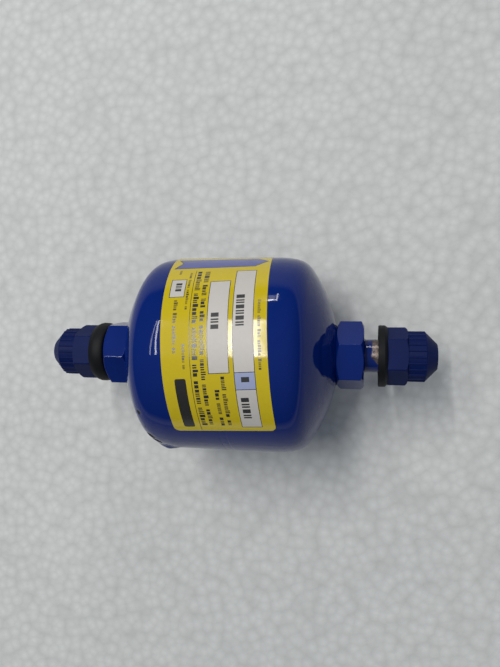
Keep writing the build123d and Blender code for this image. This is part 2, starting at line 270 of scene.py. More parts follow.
rubberLookValues = {
    "black": rgb(3, 4, 6),
    "bloom": rgb(13, 14, 17),
    "roughness": 0.46,
    "grainDepth": 0.02,
}


def rubberLook(place):
    values = rubberLookValues
    bloom = place.noise(2.4, 4.0, 0.65)
    grain = place.noise(0.22, 2.0)
    return {
        "Base Color": bloom.mixed(values["black"], values["bloom"]),
        "Roughness": values["roughness"] + bloom * 0.26,
        "Normal": (grain + bloom * 0.6).bumped(values["grainDepth"]),
    }


ringRubber = newMaterial("ringRubber", {"IOR": 1.5, "Specular IOR Level": 0.22}, rubberLook)


def steelLook(place, light, dark, lines):
    rolled = place.stretched(*lines).noise(1.6, 3.0)
    spots = ((place.noise(1.2, 4.0, 0.7) - 0.58) * 5.0).clamped()
    return {
        "Base Color": (rolled * 0.5 + spots * 0.4).mixed(light, dark),
        "Roughness": 0.26 + rolled * 0.16 + spots * 0.2,
        "Normal": (rolled + spots * 0.5).bumped(0.01),
    }


plateSteel = newMaterial("plateSteel", {"Metallic": 1.0}, lambda place: steelLook(
    place, rgb(186, 184, 180), rgb(132, 128, 122), (6.0, 0.12, 1.0)))
springWire = newMaterial("springWire", {"Metallic": 1.0}, lambda place: steelLook(
    place, rgb(120, 112, 102), rgb(66, 58, 52), (1.0, 1.0, 1.0)))


def desiccantLook(place):
    grit = place.cells(0.9)
    fine = place.noise(0.4, 4.0, 0.65)
    return {
        "Base Color": (fine * 0.6 + grit * 0.5).mixed(rgb(214, 203, 180), rgb(186, 171, 146)),
        "Normal": (grit * 1.4 + fine).bumped(0.16),
    }


mouldedDesiccant = newMaterial("mouldedDesiccant", {"Roughness": 0.93}, desiccantLook)


def feltLook(place):
    strands = place.stretched(1.0, 3.0, 0.5).noise(0.9, 5.0, 0.7, 1.4)
    crossed = place.stretched(1.0, 0.5, 3.0).noise(0.9, 5.0, 0.7, 1.4)
    return {
        "Base Color": (strands * 0.5 + crossed * 0.5).mixed(rgb(196, 194, 188), rgb(240, 239, 234)),
        "Normal": strands.larger(crossed).bumped(0.2),
    }


polyesterFelt = newMaterial("polyesterFelt", {"Roughness": 0.97, "Sheen Weight": 0.3}, feltLook)


def filmMaterial(name, colour, worn, roughness):
    def look(place):
        wave = place.noise(3.2, 2.0)
        mottle = place.noise(0.9, 4.0, 0.6)
        return {
            "Base Color": (mottle * 0.8).mixed(colour, worn),
            "Roughness": roughness + mottle * 0.08,
            "Normal": (wave * 0.7 + mottle * 0.3).bumped(0.008),
        }
    return newMaterial(name, {"IOR": 1.6}, look)


filmFinishes = {
    "yellow": filmMaterial("labelYellow", rgb(206, 184, 15), rgb(194, 168, 11), 0.05),
    "white": filmMaterial("labelWhite", rgb(198, 193, 186), rgb(189, 182, 174), 0.5),
    "pale": filmMaterial("labelPaleBlue", rgb(156, 166, 198), rgb(146, 155, 187), 0.46),
    "arrow": filmMaterial("labelArrow", rgb(88, 94, 158), rgb(80, 86, 146), 0.1),
    "ink": filmMaterial("labelInk", rgb(26, 25, 24), rgb(44, 40, 30), 0.22),
    "boxInk": filmMaterial("labelBoxInk", rgb(24, 24, 25), rgb(40, 39, 38), 0.55),
    "greyInk": filmMaterial("labelGreyInk", rgb(72, 64, 26), rgb(92, 80, 24), 0.2),
}
print("finishes made")


def cleaned(mesh, sharpAngle, thinFaces=False):  # closes seams and turns the faces outwards
    work = bmesh.new()
    work.from_mesh(mesh)
    bmesh.ops.remove_doubles(work, verts=work.verts, dist=0.0004 * mm)
    if thinFaces:
        bmesh.ops.dissolve_degenerate(work, edges=work.edges, dist=0.0003 * mm)
    bmesh.ops.recalc_face_normals(work, faces=work.faces)
    work.to_mesh(mesh)
    work.free()
    mesh.shade_smooth()
    mesh.set_sharp_from_angle(angle=math.radians(sharpAngle))
    return mesh


def settle(mesh, body, nodes=()):
    piece = bpy.data.objects.new(mesh.name, mesh)
    bpy.context.scene.collection.objects.link(piece)
    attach(piece, body)
    if nodes:
        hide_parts(*nodes)


def newPiece(name, shape, material, body, node, sharpAngle):
    points, faces = shape
    mesh = bpy.data.meshes.new(name)
    mesh.from_pydata([Vector(point) * mm for point in points], [], faces)
    mesh.materials.append(material)
    settle(cleaned(mesh, sharpAngle, thinFaces=True), body, [node])


def allRound(count):
    return [360 * i / count for i in range(count)]


def loft(sections, angles):  # one closed section for each angle about the X axis
    count = len(sections[0])
    points = [
        (x, -r * math.sin(math.radians(angle)), r * math.cos(math.radians(angle)))
        for angle, section in zip(angles, sections) for x, r in section
    ]
    faces = []
    for turn in range(len(sections)):
        here, there = turn * count, (turn + 1) % len(sections) * count
        for k in range(count):
            after = (k + 1) % count
            faces.append((here + k, here + after, there + after, there + k))
    return points, faces


def softened(corners, radius, parts=3):  # rounds a closed section's corners
    out = []
    for i, corner in enumerate(corners):
        here = Vector(corner[:2])
        before = Vector(corners[i - 1][:2]) - here
        after = Vector(corners[(i + 1) % len(corners)][:2]) - here
        own = corner[2] if len(corner) > 2 else radius
        if own == 0:
            out.append(tuple(here))
            continue
        openAngle = before.angle(after, math.pi)
        reach = own / max(math.tan(openAngle / 2), 0.05)
        toStart = before.normalized() * min(reach, before.length * 0.4)
        toEnd = after.normalized() * min(reach, after.length * 0.4)
        out.append(tuple(here + toStart * 1.2))
        for k in range(parts + 1):
            t = k / parts
            out.append(tuple(here + toStart * (1 - t) ** 2 + toEnd * t ** 2))
        out.append(tuple(here + toEnd * 1.2))
    return out


def swept(start, end, count):
    return [start + (end - start) * i / (count - 1) for i in range(count)]


def sixSided(cornerRadius, turn):  # angles about the axis that fit a hexagon with soft corners
    onCorner = [step * cornerRadius / 0.3 for step in (0.0, 0.35, 0.8, 1.25, 1.7)]
    onFlat = [step for step in swept(-27.5, 27.5, 23) if abs(step) > 1.9] + [30.0]
    steps = sorted({*onCorner, *(-step for step in onCorner), *onFlat})
    return [turn + 60 * side + step for side in range(6) for step in steps]


def hexagonRadius(angle, turn, flat, corner):  # flat is half the size across flats
    off = abs((angle - turn + 30) % 60 - 30)
    centre = (flat - corner) / math.cos(math.radians(30))
    limit = math.degrees(math.atan2(corner * 0.5, centre + corner * math.cos(math.radians(30))))
    if off < limit:
        off = math.radians(off)
        return centre * math.cos(off) + math.sqrt(corner ** 2 - (centre * math.sin(off)) ** 2)
    return flat / math.cos(math.radians(30 - off))


def mirrored(section, side):
    return [(side * x, r) for x, r in section]


# The drum is two deep-drawn cups with a dressed weld between them.
drumValues = {
    "radius": 26.0,
    "halfStraight": 15.3,
    "wall": 1.2,
    "knuckle": 7.6,
    "crown": 40.7,
    "hole": 6.55,
    "weldX": 1.0,
    "weldFace": 2.2,
    "weldRoot": 0.8,
    "toeDepth": 0.05,
    "ripples": 72,
    "ripple": 0.012,
    "steps": 288,
    "easeStart": 12.6,  # the wall starts to turn in softly here
    "easeEnd": 20.5,
    "easeRadius": 22.0,
    "dents": [  # place, width and depth, in millimetres
        ((-19.8, -14.4, 19.8), 1.1, 0.25),
        ((-19.2, -21.3, 13.1), 1.3, 0.65),
        ((-18.1, -22.95, 10.8), 1.3, 0.65),
    ],
    "crease": ((-16.4, -24.9, 6.2), (2.5, 0.9), 0.75),  # place, half its length and width, height
    "creaseBend": 0.12,
}


def softTurn(x):  # how far the skin lies inside a plain arc where the wall starts to turn
    v = drumValues
    if not v["easeStart"] < x < v["easeEnd"]:
        return 0.0
    if x < v["halfStraight"]:
        return (x - v["easeStart"]) ** 2 / (2 * v["easeRadius"])
    run = v["halfStraight"] - v["easeStart"]
    span = v["easeEnd"] - v["halfStraight"]
    t = (x - v["halfStraight"]) / span
    drop, slope = run ** 2 / (2 * v["easeRadius"]), run / v["easeRadius"] * span
    return drop * (2 * t ** 3 - 3 * t ** 2 + 1) + slope * (t ** 3 - 2 * t ** 2 + t)


def drumSkin(inset, innerEnd, holeRadius):  # from the weld's edge out to the hole in the crown
    v = drumValues
    height = v["radius"] - v["knuckle"]
    reach = math.sqrt((v["crown"] - v["knuckle"]) ** 2 - height ** 2)
    turn = math.atan2(height, reach)
    crownX = v["halfStraight"] - reach
    crown = v["crown"] - inset
    end = math.asin(holeRadius / crown)
    skin = [(x, v["radius"] - inset) for x in swept(innerEnd, v["halfStraight"], 36)]
    for angle in swept(math.pi / 2, turn, 20)[1:]:
        radius = v["knuckle"] - inset
        skin.append((v["halfStraight"] + radius * math.cos(angle), height + radius * math.sin(angle)))
    for angle in swept(turn, end, 34)[1:]:
        skin.append((crownX + crown * math.cos(angle), crown * math.sin(angle)))
    return [(x, r - softTurn(x)) for x, r in skin] if inset == 0 else skin


def dented(points):
    for centre, width, depth in drumValues["dents"]:
        centre = Vector(centre)
        inward = -Vector((0.35 * math.copysign(1, centre.x), centre.y, centre.z)).normalized()
        for i, point in enumerate(points):
            gap = (Vector(point) - centre).length / width
            if gap < 2.5:
                points[i] = tuple(Vector(point) + inward * depth * math.exp(-2.2 * gap * gap))
    centre, (long, wide), height = drumValues["crease"]
    centre = Vector(centre)
    outward = Vector((-0.3, centre.y, centre.z)).normalized()
    for i, point in enumerate(points):
        off = Vector(point) - centre
        bend = off.x ** 2 * drumValues["creaseBend"]
        across = (math.hypot(off.y, off.z) * math.copysign(1, off.z) - bend) / wide
        gap = (off.x / long) ** 2 + across ** 2
        if gap < 6:
            x, y, z = Vector(point) + outward * height * math.exp(-gap)
            points[i] = (x, max(y, -drumValues["radius"]), z)
    return points


def buildDrum():
    v = drumValues
    angles = allRound(v["steps"])
    for side, end in ((-1, "inlet"), (1, "outlet")):
        face = side * v["weldX"] + v["weldFace"] / 2
        root = side * v["weldX"] + v["weldRoot"] / 2
        outer = drumSkin(0.0, face, v["hole"])
        inner = drumSkin(v["wall"], root, v["hole"])
        section = mirrored(outer + inner[::-1], side)
        points, faces = loft([section] * len(angles), angles)
        if side < 0:
            points = dented(points)
        newPiece(end + "_cup", (points, faces), drumPaint, "drier", end + "_shell", 50)

    x, half = v["weldX"], v["weldFace"] / 2
    toe, low = v["radius"] - v["toeDepth"], v["radius"] - v["wall"]
    sections = []
    for angle in angles:  # shallow ripples that the dressing left
        ripple = v["ripple"] + v["ripple"] * math.sin(math.radians(angle * v["ripples"]))
        ripple += 0.014 * noise.noise((angle * 0.09, 3.1, 0.0))
        crest = v["radius"] - max(ripple, 0.0)
        sections.append([
            (x - half, v["radius"]), (x - half * 0.86, toe), (x - half * 0.6, crest), (x, crest),
            (x + half * 0.6, crest), (x + half * 0.86, toe), (x + half, v["radius"]),
            (x + v["weldRoot"] / 2, low), (x - v["weldRoot"] / 2, low),
        ])
    shape = loft(sections, angles)
    newPiece("weld_seam", shape, drumPaint, "drier", "girth_weld", 50)


buildDrum()
print("drum made")


# Each connection is one turned piece: hexagon, relief neck, thread and flare nose.
fittingValues = {
    "nutX": 28.104,
    "nutThickness": 6.9,
    "nutFlat": 8.0,
    "nutCorner": 0.3,
    "bevelAngle": 30.0,
    "turns": {1: -19.0, -1: 7.2},
    "spigot": 6.5,
    "spigotLength": 2.7,
    "nozzle": 4.4,
    "nozzleLength": 1.4,
    "relief": 4.3,
    "reliefLength": 3.8,
    "threadLength": 7.2,
    "rootRadius": 4.77,
    "bore": 2.4,
    "flareLength": 13.9,
    "flareBase": 4.75,
    "flareTip": 2.9,
}
threadValues = {
    "pitch": 1.27,
    "majorRadius": 5.556,
    "crest": 0.17,
    "base": 1.06,
    "capBore": 5.606,
    "capMinor": 5.0,
    "capCrest": 0.3,
    "capBase": 0.98,
    "turns": 5.35,
    "lead": 0.55,  # from the end of the relief to the ridge's start
    "sunk": 0.06,
    "capTurns": 4.2,
    "capLead": 0.9,
    "capSunk": 0.05,
    "steps": 72,  # points in a turn
}


def buildFitting(side, end):
    v = fittingValues
    turn = v["turns"][side]
    angles = sixSided(v["nutCorner"], turn)
    inner, outer = v["nutX"], v["nutX"] + v["nutThickness"]
    bevel = v["nutFlat"] - 0.1
    slope = math.tan(math.radians(v["bevelAngle"]))
    start = outer + v["reliefLength"]
    stop = start + v["threadLength"]
    tip = outer + v["flareLength"]
    flareX = tip - (v["flareBase"] - v["flareTip"])
    spigotX = inner - v["spigotLength"]
    nozzleX = spigotX - v["nozzleLength"]
    sections = []
    for angle in angles:
        wide = hexagonRadius(angle, turn, v["nutFlat"], v["nutCorner"])
        depth = (wide - bevel) * slope
        corners = [
            (nozzleX, v["bore"]), (nozzleX, v["nozzle"]),
            (spigotX, v["nozzle"]), (spigotX, v["spigot"]), (inner, v["spigot"]),
            (inner, bevel, 0.05), (inner + depth, wide, 0.3), (outer - depth, wide, 0.3), (outer, bevel, 0.12),
            (outer, v["relief"], 0.5), (start, v["relief"], 0.2),
            (start + 0.35, v["rootRadius"], 0.1), (stop + 0.5, v["rootRadius"], 0.15),
            (flareX, v["flareBase"], 0.1), (tip, v["flareTip"], 0.2), (tip, v["bore"], 0.15),
        ]
        sections.append(mirrored(softened(corners, 0.08), side))
    shape = loft(sections, angles)
    newPiece(end + "_connection", shape, neckPaint, "drier", end + "_fitting", 32)


brazeValues = {
    "edge": 9.0,  # how far out on the crown the filler ran
    "wander": 0.2,
    "toe": 7.6,
    "sunk": 0.01,
    "steps": 144,
}


def buildBraze(side, end):  # a run fillet between the crown and the hexagon's back
    v = drumValues
    height = v["radius"] - v["knuckle"]
    crownX = v["halfStraight"] - math.sqrt((v["crown"] - v["knuckle"]) ** 2 - height ** 2)
    toe = Vector((fittingValues["nutX"], brazeValues["toe"]))
    angles = allRound(brazeValues["steps"])
    sections = []
    for angle in angles:
        c, s = math.cos(math.radians(angle)), math.sin(math.radians(angle))
        edge = brazeValues["edge"] + brazeValues["wander"] * noise.noise((s * 1.7, c * 1.7, side * 4.0))
        onCrown = [
            (crownX + math.sqrt(v["crown"] ** 2 - r * r) - brazeValues["sunk"], r)
            for r in swept(v["hole"], edge, 5)
        ]
        start = Vector(onCrown[-1])
        belly = Vector((start.x * 0.4 + toe.x * 0.6, toe.y + (start.y - toe.y) * 0.25))
        run = [start.lerp(belly, t).lerp(belly.lerp(toe, t), t) for t in swept(0.0, 1.0, 7)]
        section = onCrown + [tuple(p) for p in run[1:]] + [(toe.x, v["hole"])]
        sections.append(mirrored(section, side))
    shape = loft(sections, angles)
    newPiece(end + "_braze_fillet", shape, drumPaint, "drier", end + "_braze", 60)


for side, end in ((-1, "inlet"), (1, "outlet")):
    buildFitting(side, end)
    buildBraze(side, end)
print("connections made")


def newTree(name, inputs):
    tree = bpy.data.node_groups.new(name, "GeometryNodeTree")
    kinds = {float: "NodeSocketFloat", int: "NodeSocketInt"}
    for label, value in inputs.items():
        if isinstance(value, bpy.types.Material):
            tree.interface.new_socket(label, in_out="INPUT", socket_type="NodeSocketMaterial")
        else:
            tree.interface.new_socket(label, in_out="INPUT", socket_type=kinds[type(value)])
    tree.interface.new_socket("Geometry", in_out="OUTPUT", socket_type="NodeSocketGeometry")
    source = tree.nodes.new("NodeGroupInput")
    taps = {label: Tap(tree, source.outputs[label]) for label in inputs}
    return tree, taps


def endTree(tree, shape, material):
    shape = shape.node("GeometryNodeRealizeInstances", {}, {0: shape})
    shape = shape.node("GeometryNodeSetMaterial", {}, {"Geometry": shape, "Material": material})
    sink = tree.nodes.new("NodeGroupOutput")
    tree.links.new(shape.socket, sink.inputs[0])
    return tree


def treePiece(name, tree, values, body, sharpAngle=40.0):
    holder = bpy.data.objects.new(name + "_maker", bpy.data.meshes.new(name + "_maker"))
    bpy.context.scene.collection.objects.link(holder)
    maker = holder.modifiers.new("maker", "NODES")
    maker.node_group = tree
    for item in tree.interface.items_tree:
        if item.in_out == "INPUT":
            maker[item.identifier] = values[item.name]
    graph = bpy.context.evaluated_depsgraph_get()
    mesh = bpy.data.meshes.new_from_object(holder.evaluated_get(graph))
    holder.modifiers.remove(maker)
    bpy.data.objects.remove(holder)
    mesh.name = name
    settle(cleaned(mesh, sharpAngle), body)


def threadTree():  # a trapezoid ridge swept along a spiral, sunk at both ends
    inputs = {
        "Pitch": 1.0, "Turns": 1.0, "Ridge Radius": 1.0, "Height": 1.0, "Base": 1.0, "Crest": 1.0,
        "Inward": 1.0, "Start": 1.0, "Phase": 1.0, "Facing": 1.0, "Steps": 1, "Material": drumPaint,
    }
    tree, t = newTree("screwThread", inputs)
    spiral = t["Pitch"].node("GeometryNodeCurveSpiral", {}, {
        "Resolution": t["Steps"], "Rotations": t["Turns"], "Start Radius": t["Ridge Radius"],
        "End Radius": t["Ridge Radius"], "Height": t["Pitch"] * t["Turns"], "Reverse": False,
    })
    along = spiral.node("GeometryNodeSplineParameter")
    run = (along * t["Turns"]).smaller((1.0 - along) * t["Turns"])
    spiral = spiral.node("GeometryNodeSetCurveNormal", {"mode": "Z_UP"}, {0: spiral})
    size = (run * 1.6).clamped()
    spiral = spiral.node("GeometryNodeSetCurveRadius", {}, {"Curve": spiral, "Radius": size})
    shape = t["Base"].node("GeometryNodeCurvePrimitiveQuadrilateral", {"mode": "TRAPEZOID"}, {
        "Height": t["Height"], "Bottom Width": t["Base"], "Top Width": t["Crest"], "Offset": 0.0,
    })
    spin = shape.node("ShaderNodeCombineXYZ", {}, {"Z": t["Inward"] * (math.pi / 2)})
    shift = shape.node("ShaderNodeCombineXYZ", {}, {"X": t["Inward"] * t["Height"] * -0.5})
    shape = shape.moved(shift, spin)
    ridge = spiral.node("GeometryNodeCurveToMesh", {}, {
        "Curve": spiral, "Profile Curve": shape, "Fill Caps": True,
    })
    phase = ridge.node("ShaderNodeCombineXYZ", {}, {"Z": t["Phase"]})
    ridge = ridge.moved((0.0, 0.0, 0.0), phase)
    tilt = ridge.node("ShaderNodeCombineXYZ", {}, {"Y": t["Facing"] * (math.pi / 2)})
    place = ridge.node("ShaderNodeCombineXYZ", {}, {"X": t["Start"] * t["Facing"]})
    ridge = ridge.moved(place, tilt)
    return endTree(tree, ridge, t["Material"])


def ribTree():  # round-ended ribs spaced round the grip
    inputs = {
        "Count": 1, "Grip Radius": 1.0, "Rib Radius": 1.0, "Length": 1.0, "Start": 1.0,
        "Facing": 1.0, "Material": capPlastic,
    }
    tree, t = newTree("gripRibs", inputs)
    top = t["Length"].node("ShaderNodeCombineXYZ", {}, {"Z": t["Length"]})
    line = top.node("GeometryNodeCurvePrimitiveLine", {}, {"Start": (0.0, 0.0, 0.0), "End": top})
    line = line.node("GeometryNodeResampleCurve", {}, {"Curve": line, "Count": 14})
    along = line.node("GeometryNodeSplineParameter")
    near = along.smaller(1.0 - along)
    size = (near * 9.0).clamped().maths("POWER", (near * 9.0).clamped(), 0.5)
    line = line.node("GeometryNodeSetCurveRadius", {}, {"Curve": line, "Radius": size})
    ring = line.node("GeometryNodeCurvePrimitiveCircle", {}, {"Resolution": 12, "Radius": t["Rib Radius"]})
    rib = line.node("GeometryNodeCurveToMesh", {}, {
        "Curve": line, "Profile Curve": ring, "Fill Caps": True,
    })
    spots = rib.node("GeometryNodeMeshCircle", {}, {"Vertices": t["Count"], "Radius": t["Grip Radius"]})
    ribs = rib.node("GeometryNodeInstanceOnPoints", {}, {"Points": spots, "Instance": rib})
    tilt = ribs.node("ShaderNodeCombineXYZ", {}, {"Y": t["Facing"] * (math.pi / 2)})
    place = ribs.node("ShaderNodeCombineXYZ", {}, {"X": t["Start"] * t["Facing"]})
    ribs = ribs.moved(place, tilt)
    return endTree(tree, ribs, t["Material"])


screwThread = threadTree()
gripRibs = ribTree()


def threadPhase(start):  # keeps every thread on one helix, whatever its start
    return 2 * math.pi * (start / threadValues["pitch"] % 1.0)


def buildThread(side, end):
    v = threadValues
    f = fittingValues
    start = f["nutX"] + f["nutThickness"] + f["reliefLength"] + v["lead"]
    treePiece(end + "_thread", screwThread, {
        "Pitch": v["pitch"] * mm, "Turns": v["turns"], "Ridge Radius": (f["rootRadius"] - v["sunk"]) * mm,
        "Height": (v["majorRadius"] - f["rootRadius"] + v["sunk"]) * mm, "Base": v["base"] * mm,
        "Crest": v["crest"] * mm, "Inward": -1.0, "Start": start * mm, "Phase": threadPhase(start),
        "Facing": float(side), "Steps": v["steps"], "Material": neckPaint,
    }, "drier")


for side, end in ((-1, "inlet"), (1, "outlet")):
    buildThread(side, end)
print("threads made")


# A cap is a spigot for its ring, a hexagon, a ribbed grip and a cone, with a thread inside.
capValues = {
    "x": 39.504,
    "spigot": 6.9,
    "spigotLength": 1.0,
    "hexCorner": 0.5,
    "hexVertex": 7.65,
    "hexTurn": 25.5,
    "hexLength": 5.2,
    "shoulder": 1.1,
    "grip": 6.32,
    "gripLength": 4.4,
    "coneLength": 3.0,
    "nose": 3.3,
    "dimple": 0.9,
    "dimpleFoot": 0.6,
    "dimpleDepth": 0.25,
    "ribs": 24,
    "ribRadius": 0.24,
    "ribGap": 0.08,  # between the ribs' ends and the cone
    "boreEnd": 46.994,
    "discX": 48.954,
    "discBore": 3.65,
    "discDepth": 1.25,
    "backedOff": {1: 1.35, -1: 0.0},
}


def buildCap(side, end):
    v = capValues
    shift = v["backedOff"][side]
    x = v["x"] + shift
    flat = v["hexVertex"] * math.cos(math.radians(30))
    angles = sixSided(v["hexCorner"], v["hexTurn"])
    shoulderX = x + v["hexLength"]
    coneX = shoulderX + v["gripLength"]
    noseX = coneX + v["coneLength"]
    dimpleX = noseX - v["dimpleDepth"]
    discX = v["discX"] + shift
    sections = []
    for angle in angles:
        wide = hexagonRadius(angle, v["hexTurn"], flat, v["hexCorner"])
        rise = v["hexVertex"] - v["grip"]
        first = math.acos(min((wide - v["grip"]) / rise, 1.0))
        arc = [
            (shoulderX - v["shoulder"] * (1 - math.sin(t)), v["grip"] + rise * math.cos(t), 0.02)
            for t in swept(first, math.pi / 2, 7)
        ]
        corners = [
            (x - v["spigotLength"], threadValues["capBore"]), (x - v["spigotLength"], v["spigot"]),
            (x, v["spigot"], 0.05), (x, wide, 0.18), *arc,
            (coneX, v["grip"], 0.25), (noseX, v["nose"], 0.45), (noseX, v["dimple"], 0.3),
            (dimpleX, v["dimpleFoot"], 0.2), (dimpleX, 0.0, 0.0), (discX + v["discDepth"], 0.0, 0.0),
            (discX + v["discDepth"], v["discBore"], 0.1), (discX, v["discBore"], 0.05),
            (v["boreEnd"] + shift, threadValues["capBore"], 0.1),
        ]
        sections.append(mirrored(softened(corners, 0.1), side))
    body = end + "_screw_cap"
    newPiece(end + "_cap_body", loft(sections, angles), capPlastic, body, end + "_cap", 38)
    onShoulder = v["shoulder"] * 0.75  # the ribs run out part of the way down the shoulder
    treePiece(end + "_cap_ribs", gripRibs, {
        "Count": v["ribs"], "Grip Radius": v["grip"] * mm, "Rib Radius": v["ribRadius"] * mm,
        "Length": (v["gripLength"] + onShoulder - v["ribGap"]) * mm, "Start": (shoulderX - onShoulder) * mm,
        "Facing": float(side), "Material": capPlastic,
    }, body, 50)
    t = threadValues
    start = x + t["capLead"]
    root = t["capBore"] + t["capSunk"]
    treePiece(end + "_cap_thread", screwThread, {
        "Pitch": t["pitch"] * mm, "Turns": t["capTurns"], "Ridge Radius": root * mm,
        "Height": (root - t["capMinor"]) * mm, "Base": t["capBase"] * mm, "Crest": t["capCrest"] * mm,
        "Inward": 1.0, "Start": start * mm, "Phase": threadPhase(start) + math.pi,
        "Facing": float(side), "Steps": t["steps"], "Material": capPlastic,
    }, body)


for side, end in ((-1, "inlet"), (1, "outlet")):
    buildCap(side, end)
print("caps made")


ringValues = {
    "bore": 5.756,
    "seat": 6.93,
    "radius": 8.05,
    "flange": 1.65,
    "slant": 0.6,
    "backRadius": 7.6,
    "bulge": 8.25,
    "foot": 7.4,
    "footX": 35.304,
    "seatX": 38.504,
    "crestFrom": 0.45,  # shares of the wide ring's width
    "crestTo": 0.5,
    "swell": 0.05,
    "steps": 144,
}


def buildRings():
    v = ringValues
    angles = allRound(v["steps"])
    capX = capValues["x"] + capValues["backedOff"][1]
    backX = capX - v["slant"] - v["flange"]
    seatX = capX - capValues["spigotLength"]
    section = softened([
        (backX, v["bore"], 0.15), (backX, v["radius"], 0.28), (backX + v["flange"], v["radius"], 0.3),
        (capX, v["backRadius"], 0.12), (capX, v["seat"], 0.03), (seatX, v["seat"], 0.08),
        (seatX, v["bore"], 0.12),
    ], 0.1, 4)
    shape = loft([section] * len(angles), angles)
    newPiece("outlet_seal_ring", shape, ringRubber, "outlet_ring", "outlet_cap_ring", 60)

    capX = capValues["x"]
    sections = []
    for angle in angles:  # the wide ring is a soft moulding, a little uneven
        around = (math.sin(math.radians(angle)), math.cos(math.radians(angle)), 9.0)
        rise = v["bulge"] - v["backRadius"] + v["swell"] * noise.noise(around)
        outline = []
        for t in swept(0.0, 1.0, 22):
            crest = v["backRadius"] + rise * math.sin(math.pi / 2 * min(t / v["crestFrom"], 1.0))
            past = max(t - v["crestTo"], 0.0) / (1.0 - v["crestTo"])
            fall = (v["bulge"] - v["foot"]) * (1 - math.sqrt(1 - past ** 2))
            outline.append(((capX - v["footX"]) * t - capX, min(crest - fall, v["bulge"])))
        outline += [(-v["footX"], v["bore"]), (-v["seatX"], v["bore"]), (-v["seatX"], v["seat"])]
        sections.append(outline + [(-capX, v["seat"])])
    shape = loft(sections, angles)
    newPiece("inlet_seal_ring", shape, ringRubber, "inlet_ring", "inlet_cap_ring", 60)


buildRings()
print("rings made")


# The label is a film wrapped round the drum and cut along the edges of its print.
labelValues = {
    "width": 25.6,
    "length": 57.0,
    "corner": 1.5,
    "inner": 26.015,
    "outer": 26.085,
    "x": 0.28,
    "angle": -18.2,
    "skew": 3.5,
    "strip": 0.75,
    "seed": 7,
    "line": 0.16,
    "arrowEdge": [(-11.9, 18.0), (9.0, 18.0), (12.2, 21.3), (9.0, 24.6), (-11.9, 24.6), (-10.2, 21.3)],
    "arrow": [(-11.5, 18.2), (8.9, 18.2), (11.85, 21.3), (8.9, 24.4), (-11.5, 24.4), (-9.9, 21.3)],
    "boxes": [  # finish, left, bottom, right, top
        ("white", -11.3, 7.2, -7.6, 13.0),
        ("white", -1.4, -12.2, 3.55, 11.8),
        ("white", 4.7, -12.2, 9.6, 15.8),
        ("pale", 4.7, -16.35, 9.6, -12.2),
        ("white", 4.7, -27.05, 9.6, -16.35),
    ],
    "writing": [  # finish, place across, start, stop, height and width of a block
        ("greyInk", -9.4, 6.3, -7.8, 1.0, 0.72),
        ("greyInk", -9.6, 17.0, 14.4, 0.8, 0.66),
        ("greyInk", -7.2, -5.0, -11.4, 0.75, 0.62),
        ("greyInk", -6.75, 15.8, 3.0, 0.7, 0.62),
        ("ink", -4.5, 16.2, -27.0, 1.35, 1.02),
        ("ink", -2.65, 16.0, -27.0, 1.2, 1.0),
        ("ink", 0.2, -16.2, -27.0, 1.15, 0.98),
        ("ink", 1.95, -13.0, -27.0, 1.15, 0.98),
        ("greyInk", 11.0, 5.2, -12.2, 0.8, 0.66),
    ],
    "boxWriting": [  # place across, start, blocks, height and width of a block
        (0.4, 2.3, 3, 1.9, 1.5),
        (6.4, 7.0, 6, 2.0, 1.45),
        (-9.3, 11.7, 3, 1.5, 1.0),
        (6.6, -18.4, 4, 1.9, 1.55),
        (7.2, -13.3, 1, 1.9, 1.7),
    ],
}


def rectangle(left, bottom, right, top):
    return [(left, bottom), (right, bottom), (right, top), (left, top)]


def rounded(left, bottom, right, top, radius, parts=6):
    out = []
    for x, y, start in ((right - radius, top - radius, 0), (left + radius, top - radius, 90),
                        (left + radius, bottom + radius, 180), (right - radius, bottom + radius, 270)):
        for k in range(parts + 1):
            angle = math.radians(start + 90 * k / parts)
            out.append((x + radius * math.cos(angle), y + radius * math.sin(angle)))
    return out


def printFields():  # (finish, outline) from the bottom layer to the top
    v = labelValues
    edge = v["line"] / 2
    fields = [("ink", v["arrowEdge"]), ("arrow", v["arrow"])]
    for finish, left, bottom, right, top in v["boxes"]:
        fields.append(("ink", rectangle(left - edge, bottom - edge, right + edge, top + edge)))
        fields.append((finish, rectangle(left + edge, bottom + edge, right - edge, top - edge)))
    fields.append(("ink", rectangle(-5.78, -28.0, -5.64, 16.8)))
    fields.append(("ink", rounded(-9.9, -26.9, -7.1, -13.2, 0.5, 3)))

    def block(finish, foot, place, tall, wide, split):  # a plain block, or two bars
        if split:
            bar = wide * 0.38
            fields.append((finish, rectangle(foot, place - bar, foot + tall, place)))
            fields.append((finish, rectangle(foot, place - wide, foot + tall, place - wide + bar)))
        else:
            fields.append((finish, rectangle(foot, place - wide, foot + tall, place)))

    chance = random.Random(v["seed"])
    for finish, across, start, stop, height, wide in v["writing"]:  # plain blocks in word-like runs
        place = start
        while place - wide > stop:
            for _ in range(chance.randint(3, 8)):
                if place - wide < stop:
                    break
                tall = height * chance.choice((0.76, 0.76, 1.0))
                step = wide * chance.uniform(0.75, 1.2)
                block(finish, across - height / 2, place, tall, step * 0.76, chance.random() < 0.5)
                place -= step
            place -= wide * 0.8
    for across, start, count, height, wide in v["boxWriting"]:
        for k in range(count):
            block("boxInk", across - height / 2, start - k * wide, height, wide * 0.72, k % 2 == 1)
    return fields


def onDrum(across, along, radius):
    v = labelValues
    skew = math.radians(v["skew"])
    turn = math.radians(v["angle"]) - (across * math.sin(skew) + along * math.cos(skew)) / v["inner"]
    reach = across * math.cos(skew) - along * math.sin(skew)
    return Vector((v["x"] + reach, -radius * math.sin(turn), radius * math.cos(turn)))


